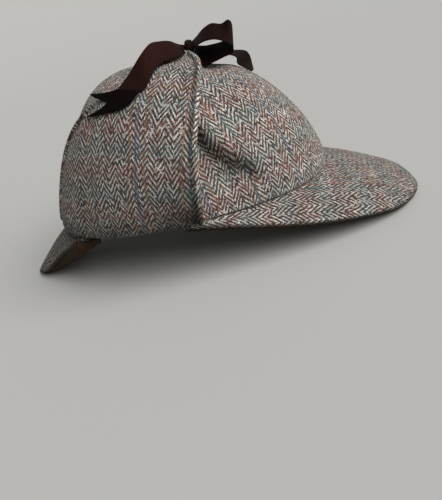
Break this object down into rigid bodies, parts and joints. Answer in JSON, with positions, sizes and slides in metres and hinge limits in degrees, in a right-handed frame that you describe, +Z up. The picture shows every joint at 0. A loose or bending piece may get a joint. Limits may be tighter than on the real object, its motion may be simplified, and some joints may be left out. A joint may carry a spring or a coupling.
{
  "type": "deerstalker hat",
  "caption": "Herringbone tweed deerstalker hat with a rounded crown of sewn panels, a peak front and back, and ear flaps tied up over the top with a ribbon bow.",
  "frame": {"origin": "bottom centre of the whole hat's box, on the floor it rests on", "axes": "+X towards the wearer's front, along the two peaks; +Y towards the wearer's left; +Z up"},
  "size_m": [0.3138, 0.165, 0.1436],
  "materials": {
    "tweed": "woven wool herringbone tweed, grey-brown with cream, teal and rust yarns",
    "facing": "smooth dark brown cotton under the peaks",
    "ribbon": "dark chocolate brown grosgrain ribbon with fine cross ribs"
  },
  "bodies": {
    "root": {"crown_front_right": "tweed", "crown_front_left": "tweed", "crown_back_left": "tweed", "crown_back_right": "tweed", "ear_flap_right": "tweed", "ear_flap_left": "tweed", "front_peak": "tweed", "front_peak_facing": "facing", "rear_peak": "tweed", "rear_peak_facing": "facing", "ribbon_tail_rear": "ribbon", "ribbon_tail_front": "ribbon", "bow_loop": "ribbon", "ribbon_knot": "ribbon"}
  },
  "joints": []
}
